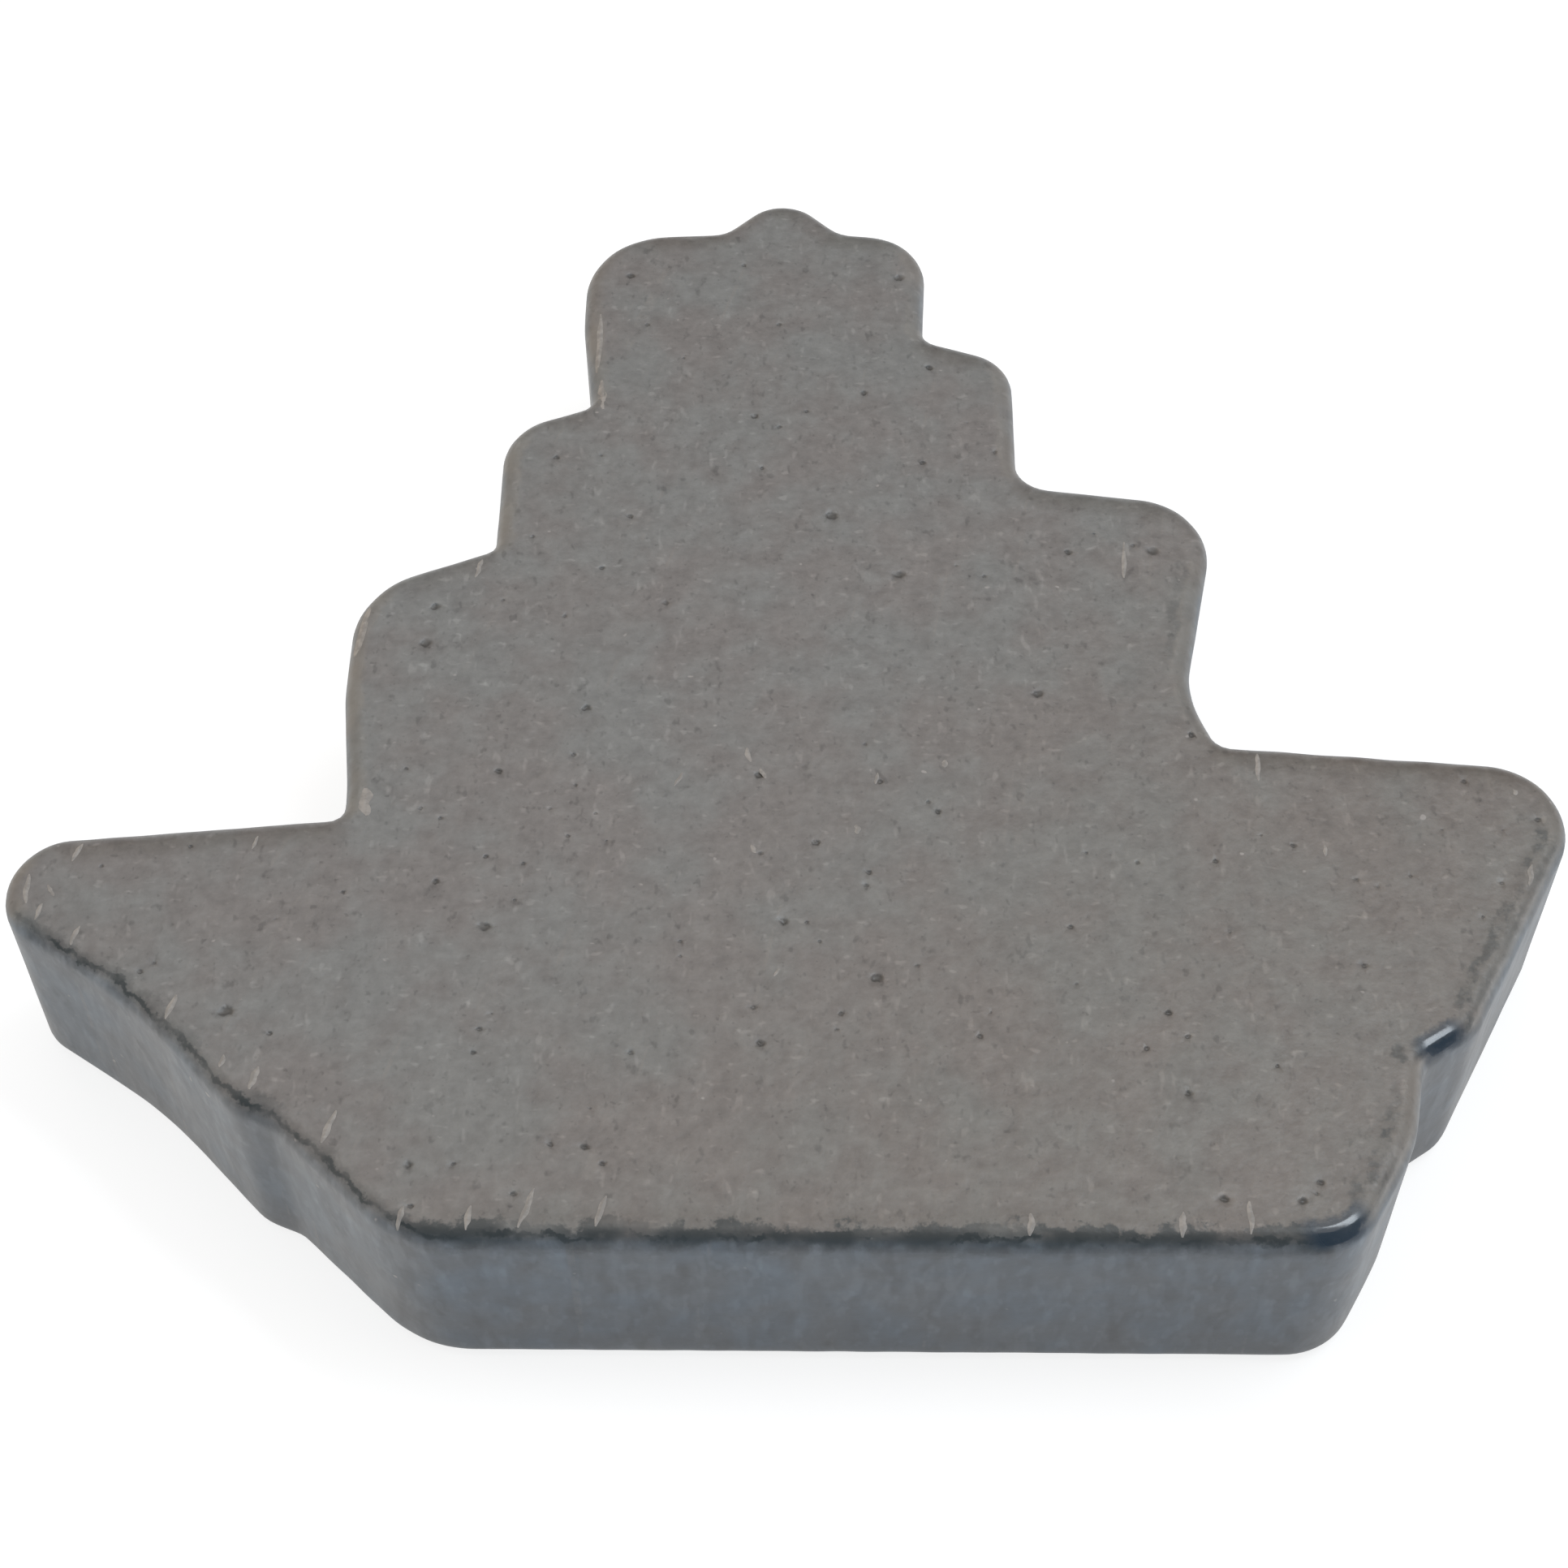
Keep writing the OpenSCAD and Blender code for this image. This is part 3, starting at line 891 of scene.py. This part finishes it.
def tone(n, flat, edge, grain, mottle, blotch, clouds):
    """How light the lacquer is: mottled and marked, in blotches, and with painted shade darker downward
    on walls.
    """
    wall = n.math("SUBTRACT", 1.0, flat)
    fine = n.math("MULTIPLY", n.centred(grain), GRAIN_CHANGE)
    fine = n.math("MULTIPLY_ADD", n.centred(mottle), MOTTLE_CHANGE, fine)
    light = n.math("MULTIPLY_ADD", fine, n.math("MULTIPLY_ADD", wall, WALL_CALM_SHARE, 1.0), 1.0)
    light = n.math("MULTIPLY_ADD", n.centred(clouds), CLOUD_CHANGE, light)
    light = marked(n, light, FACE_MARKS, flat)
    light = marked(n, light, WALL_MARKS, wall)
    side = n.steps(n.math("ABSOLUTE", n.attribute("to_left")), *BLOTCH_STEPS)
    spread = n.math("MULTIPLY", n.centred(blotch), side)
    light = n.math("MULTIPLY_ADD", spread, wall, light)
    # Painted shade: the walls darker toward the floor.
    low = n.math("MULTIPLY", n.steps(edge, *WALL_SHADE_STEPS), wall)
    return n.math("MULTIPLY", light, n.math("SUBTRACT", 1.0, low))


def plain_colour(n, flat, clouds, light):
    """The grey of the face, with painted light that makes it warmer toward the stern and paler and cooler
    toward the bow, and of the wall, darker and bluer partly by its own grain and partly by painted shade
    and cool light, with the tone on it.
    """
    hue = n.steps(clouds, *HUE_STEPS)
    at = n.axes(n.place())
    # Painted light: paler and cooler toward the bow, warmer toward the stern.
    light_across = n.steps(n.math("SUBTRACT", at["Y"], at["X"]), *LIGHT_ACROSS_STEPS_MM)
    face = n.mix(hue, FACE_WARM, FACE_COOL)
    face = n.mix(1.0, face, n.mix(light_across, STERN_LIGHT_TINT, BOW_LIGHT_TINT), "MULTIPLY")
    # The wall's grey: partly its own, partly painted shade and cool light.
    colour = n.mix(flat, n.mix(hue, WALL_WARM, WALL_COOL), face)
    grey = n.node("ShaderNodeCombineColor", {0: light, 1: light, 2: light}).outputs[0]
    return n.mix(1.0, colour, grey, "MULTIPLY")


def rayed(n, colour, mottle):
    """The colour with the tree's rays showing faintly through."""
    rays = n.noise(along_tree(n, RAY_FACTORS), *RAY_PATTERN)
    ray = n.math("MULTIPLY", n.steps(rays, *RAY_STEPS), n.steps(mottle, *RAY_MOTTLE_STEPS))
    return n.mix(ray, colour, RAY_TAN)


def rimmed(n, colour, edge):
    """The colour with what the rims add: the brown band, the tan rub, the dark line of pooled lacquer and
    painted reflection, and the painted dark reflections round the glints.
    """
    drift = n.centred(n.pattern(*DRIFT))
    browner = n.mix(1.0, colour, BACK_RIM, "MULTIPLY")
    colour = n.mix(back_band(n, edge, drift), colour, browner)
    colour = n.mix(rubbed_line(n, edge, drift), colour, RUBBED_RIM)
    colour = n.mix(rim_line(n, edge, drift), colour, DARK_RIM)
    return n.mix(painted_glint_reflection(n, edge, drift), colour, DARK_GLINT_REFLECTION)


def speckled(n, colour):
    """The colour with pale specks, and pores darkened with painted shade."""
    specks = n.steps(n.pattern(*SPECKS), *SPECK_STEPS)
    colour = n.mix(specks, colour, PALE_SPECK)
    return n.mix(n.math("MULTIPLY", n.attribute("pore"), PORE_SHADE_SHARE), colour, PORE_SHADE)


def lacquer_material():
    """Grey satin lacquer over end grain, darker along the rim with pooled lacquer and painted dark
    reflection, polished at the glints with painted dark reflections round them, and with painted light
    and shade across the face, on the walls and in the pores.
    """
    material, n = new_material("grey_lacquer")
    up = n.axes(n.node("ShaderNodeNewGeometry").outputs["Normal"])["Z"]
    flat = n.steps(n.math("ABSOLUTE", up), *FLAT_STEPS)
    edge = n.attribute("edge")
    grain, mottle, blotch, clouds = (n.pattern(*p) for p in (GRAIN, MOTTLE, BLOTCH, CLOUDS))
    light = tone(n, flat, edge, grain, mottle, blotch, clouds)
    colour = rayed(n, plain_colour(n, flat, clouds, light), mottle)
    n.shade("Base Color", speckled(n, rimmed(n, colour, edge)))
    on_rim = n.band(edge, POLISH_RISE, POLISH_FALL)
    polish = n.math("MULTIPLY", near_glints(n, *POLISH_REACH_SHARES), on_rim)
    rough = n.math("MULTIPLY_ADD", blotch, ROUGHNESS_CHANGE, ROUGHNESS)
    smoother = n.math("MULTIPLY", polish, POLISH_SMOOTHING)
    n.shade("Roughness", n.math("SUBTRACT", rough, smoother))
    height = n.math("MULTIPLY_ADD", mottle, BUMP_MOTTLE, grain)
    height = n.math("MULTIPLY_ADD", blotch, BUMP_BLOTCH, height)
    strength = n.math("MULTIPLY_ADD", flat, BUMP_FACE_MORE, BUMP_WALL)
    calm = n.math("MULTIPLY_ADD", polish, POLISH_BUMP_SHARE, 1.0)
    strength = n.math("MULTIPLY", strength, calm)
    bump = {"Strength": strength, "Distance": BUMP_HEIGHT, "Height": height}
    n.shade("Normal", n.node("ShaderNodeBump", bump).outputs["Normal"])
    return material


def wood_material():
    """Pale end grain with pores and rings."""
    material, n = new_material("end_grain")
    grain = n.pattern(*WOOD_GRAIN)
    colour = n.mix(n.pattern(*WOOD_RINGS), DARK_WOOD, PALE_WOOD)
    colour = n.mix(n.steps(grain, *WOOD_PORE_STEPS), colour, WOOD_PORE)
    n.shade("Base Color", colour)
    n.shade("Roughness", n.math("MULTIPLY_ADD", grain, GRAIN_ROUGHNESS, WOOD_ROUGHNESS))
    bump = {"Strength": WOOD_BUMP, "Distance": WOOD_BUMP_HEIGHT, "Height": grain}
    n.shade("Normal", n.node("ShaderNodeBump", bump).outputs["Normal"])
    return material


def fleck_material():
    """Pinkish tan wood of the rays where they stand through the lacquer."""
    material, n = new_material("ray_wood")
    grain = n.pattern(*FLECK_GRAIN)
    n.shade("Base Color", n.mix(n.steps(grain, *FLECK_STEPS), DULL_TAN, TAN_WOOD))
    n.shade("Roughness", n.math("MULTIPLY_ADD", grain, GRAIN_ROUGHNESS, FLECK_ROUGHNESS))
    return material


# Pieces

def add_piece(name, mesh, material):
    """A visible piece that stays with the token."""
    piece = bpy.data.objects.new(name, mesh)
    bpy.context.scene.collection.objects.link(piece)
    mesh.materials.append(material)
    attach(piece, "root")
    return piece


def add_lacquer(inner, outline, normals):
    """The lacquer film, in place of the frame's."""
    piece = add_piece("lacquer_skin", lacquer_mesh(inner, outline, normals), lacquer_material())
    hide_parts("lacquer_coat")


def finish_wood():
    """The wooden body is the frame's own, with a material."""
    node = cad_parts["wood_blank"]
    material = wood_material()
    for k in range(len(node.material_slots)):
        node.material_slots[k].material = material


def surface_height(x, y, outline, normals):
    """Height of the rolled upper edge over a point of the plan."""
    gap = outline - np.array([x, y])
    near = (gap**2).sum(1).argmin()
    depth = float((gap[near] * normals[near]).sum())
    if depth >= RIM_R:
        return THICK
    lean = RIM_R - max(depth, 0.0)
    return THICK - RIM_R + math.sqrt(max(RIM_R**2 - lean**2, 0.0))


def fleck_points(across, down, start, end, half, outline, normals):
    """Four points at each station along one sliver: its two sides, its ridge and its root."""
    way = (end - start).normalized()
    side = Vector((-way.y, way.x))
    points = []
    for k in range(FLECK_STATIONS):
        share = k / (FLECK_STATIONS - 1)
        hump = math.sin(math.pi * (FLECK_START_SHARE + FLECK_HUMP_SHARE * share))
        ragged = wander(FLECK_RAGGED_PACE * k, across, down, 1.0, FLECK_RAGGED_SEED)
        swell = hump**FLECK_BLUNTNESS * (1 + FLECK_RAGGED_SHARE * ragged)
        bend = wander(FLECK_BEND_PACE * k, across, down, 1.0, FLECK_BEND_SEED)
        place = start.lerp(end, share) + side * (FLECK_BEND_SHARE * half * bend)
        for shift, rise in ((-half, 0), (0, FLECK_PROUD * swell), (half, 0), (0, -FLECK_ROOT)):
            spot = place + side * shift * swell
            z = surface_height(spot.x, spot.y, outline, normals) + rise
            points.append((spot.x, spot.y, z))
    return points


def fleck_faces(first):
    """Faces of a closed sliver whose points begin at the given place in the list."""
    faces = []
    for k in range(FLECK_STATIONS - 1):
        a = first + FLECK_SIDES * k
        b = a + FLECK_SIDES
        for i in range(FLECK_SIDES):
            j = (i + 1) % FLECK_SIDES
            faces.append((a + i, a + j, b + j, b + i))
    last = first + FLECK_SIDES * (FLECK_STATIONS - 1)
    ends = [[start + i for i in range(FLECK_SIDES)] for start in (first, last)]
    return faces + [tuple(ends[0][::-1]), tuple(ends[1])]


def fleck_mesh(outline, normals):
    """Slender ridges of ray wood, each a closed sliver that follows the surface."""
    points, faces = [], []
    for across, down, length, width, slant in FLECKS_PX:
        lean = math.radians(slant)
        reach = Vector((math.sin(lean), -math.cos(lean))) * length / 2
        start = on_face(across - reach.x, down - reach.y).xy
        end = on_face(across + reach.x, down + reach.y).xy
        breadth = (on_face(across + width, down) - on_face(across, down)).length
        half = breadth / 2 * FLECK_BREADTH_SHARE
        faces += fleck_faces(len(points))
        points += fleck_points(across, down, start, end, half, outline, normals)
    mesh = bpy.data.meshes.new("ray_flecks")
    mesh.from_pydata(points, [], faces)
    mesh.update()
    bm = bmesh.new()
    bm.from_mesh(mesh)
    bmesh.ops.recalc_face_normals(bm, faces=bm.faces)
    bm.to_mesh(mesh)
    bm.free()
    return mesh


def add_flecks(outline, normals):
    """The slivers of ray wood that stand through the lacquer."""
    piece = add_piece("ray_flecks", fleck_mesh(outline, normals), fleck_material())


# Floor and light

FLOOR_SIDE = 1.2
FLOOR_GREY = (0.22, 0.22, 0.22, 1)
FLOOR_SEEN = (0.35, 0.35, 0.35, 1)
FLOOR_GLOW = 0.80
WHITE = (1, 1, 1, 1)
SKY_COLOUR = (0.72, 0.87, 1.0, 1)
SKY_STRENGTH = 0.20

# Lamps: name, place and size in metres, watts, colour, whether gloss mirrors it, spin in degrees
LAMPS = [
    ("top_lamp", (0.0, 0.16, 0.60), (0.6, 0.6), 1.54, (1.0, 0.94, 0.885), True, 0),
    ("left_lamp", (-0.60, -0.06, 0.16), (0.8, 0.24), 2.08, (1.0, 0.85, 0.65), False, 0),
    ("right_lamp", (0.57, -0.06, 0.11), (0.3, 0.2), 1.01, (1.0, 0.955, 0.905), True, 0),
    ("front_lamp", (0.0, -0.62, 0.11), (0.8, 0.2), 0.90, (0.32, 0.64, 1.0), False, 0),
    ("window_lamp", (0.252, 0.084, 0.535), (0.28, 0.11), 1.00, (0.85, 0.93, 1.0), True, 27),
]


def seen_ray(n):
    """1 for rays from the camera, from gloss or through glass."""
    path = n.node("ShaderNodeLightPath").outputs
    seen = n.math("MAXIMUM", path["Is Camera Ray"], path["Is Glossy Ray"])
    return n.math("MAXIMUM", seen, path["Is Transmission Ray"])


def floor_material():
    """A pale floor that the camera sees as white, with the token's shadow on it."""
    material, n = new_material("pale_floor")
    n.tree.nodes.clear()
    plain = n.node("ShaderNodeBsdfDiffuse", {"Color": FLOOR_GREY}).outputs[0]
    pale = n.node("ShaderNodeBsdfDiffuse", {"Color": FLOOR_SEEN}).outputs[0]
    glow = n.node("ShaderNodeEmission", {"Strength": FLOOR_GLOW}).outputs[0]
    white = n.node("ShaderNodeAddShader", {0: pale, 1: glow}).outputs[0]
    pick = n.node("ShaderNodeMixShader", {0: seen_ray(n), 1: plain, 2: white}).outputs[0]
    n.node("ShaderNodeOutputMaterial", {"Surface": pick})
    return material


def add_floor():
    """The pale floor under the token."""
    half = FLOOR_SIDE / 2
    corners = [(-half, -half, 0), (half, -half, 0), (half, half, 0), (-half, half, 0)]
    mesh = bpy.data.meshes.new("floor")
    mesh.from_pydata(corners, [], [(0, 1, 2, 3)])
    mesh.materials.append(floor_material())
    floor = bpy.data.objects.new("floor", mesh)
    bpy.context.scene.collection.objects.link(floor)


def add_lamp(name, place, size, watts, colour, mirrored, spin):
    """A soft rectangular lamp that looks at the token, spun about its own axis in degrees."""
    data = bpy.data.lights.new(name, "AREA")
    data.shape = "RECTANGLE"
    data.size, data.size_y = size
    data.energy = watts
    data.color = colour
    lamp = bpy.data.objects.new(name, data)
    lamp.location = place
    lamp.rotation_euler = (-Vector(place)).to_track_quat("-Z", "Y").to_euler()
    lamp.rotation_euler.rotate_axis("Z", math.radians(spin))
    lamp.visible_glossy = mirrored
    bpy.context.scene.collection.objects.link(lamp)


def add_world():
    """White behind the floor's edge for the camera, and a faint cool sky for everything else."""
    world = bpy.data.worlds.new("studio")
    world.use_nodes = True
    bpy.context.scene.world = world
    n = Nodes(world.node_tree)
    n.tree.nodes.clear()
    sky = n.node("ShaderNodeBackground", {"Color": SKY_COLOUR, "Strength": SKY_STRENGTH}).outputs[0]
    white = n.node("ShaderNodeBackground", {"Color": WHITE}).outputs[0]
    seen = n.node("ShaderNodeLightPath").outputs["Is Camera Ray"]
    pick = n.node("ShaderNodeMixShader", {0: seen, 1: sky, 2: white}).outputs[0]
    n.node("ShaderNodeOutputWorld", {"Surface": pick})


def add_token():
    """The token's three pieces, on the outline that the frame gives."""
    outer, inner = shells_of(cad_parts["lacquer_coat"])
    outline, normals = smooth_outline(wall_outline(outer[0]), EDGE_STEP)
    add_lacquer(inner, outline, normals)
    finish_wood()
    add_flecks(outline, normals)


bpy.context.scene.view_settings.view_transform = "Standard"
add_camera()
add_token()
add_floor()
for lamp in LAMPS:
    add_lamp(*lamp)
add_world()

bpy.context.view_layer.update()
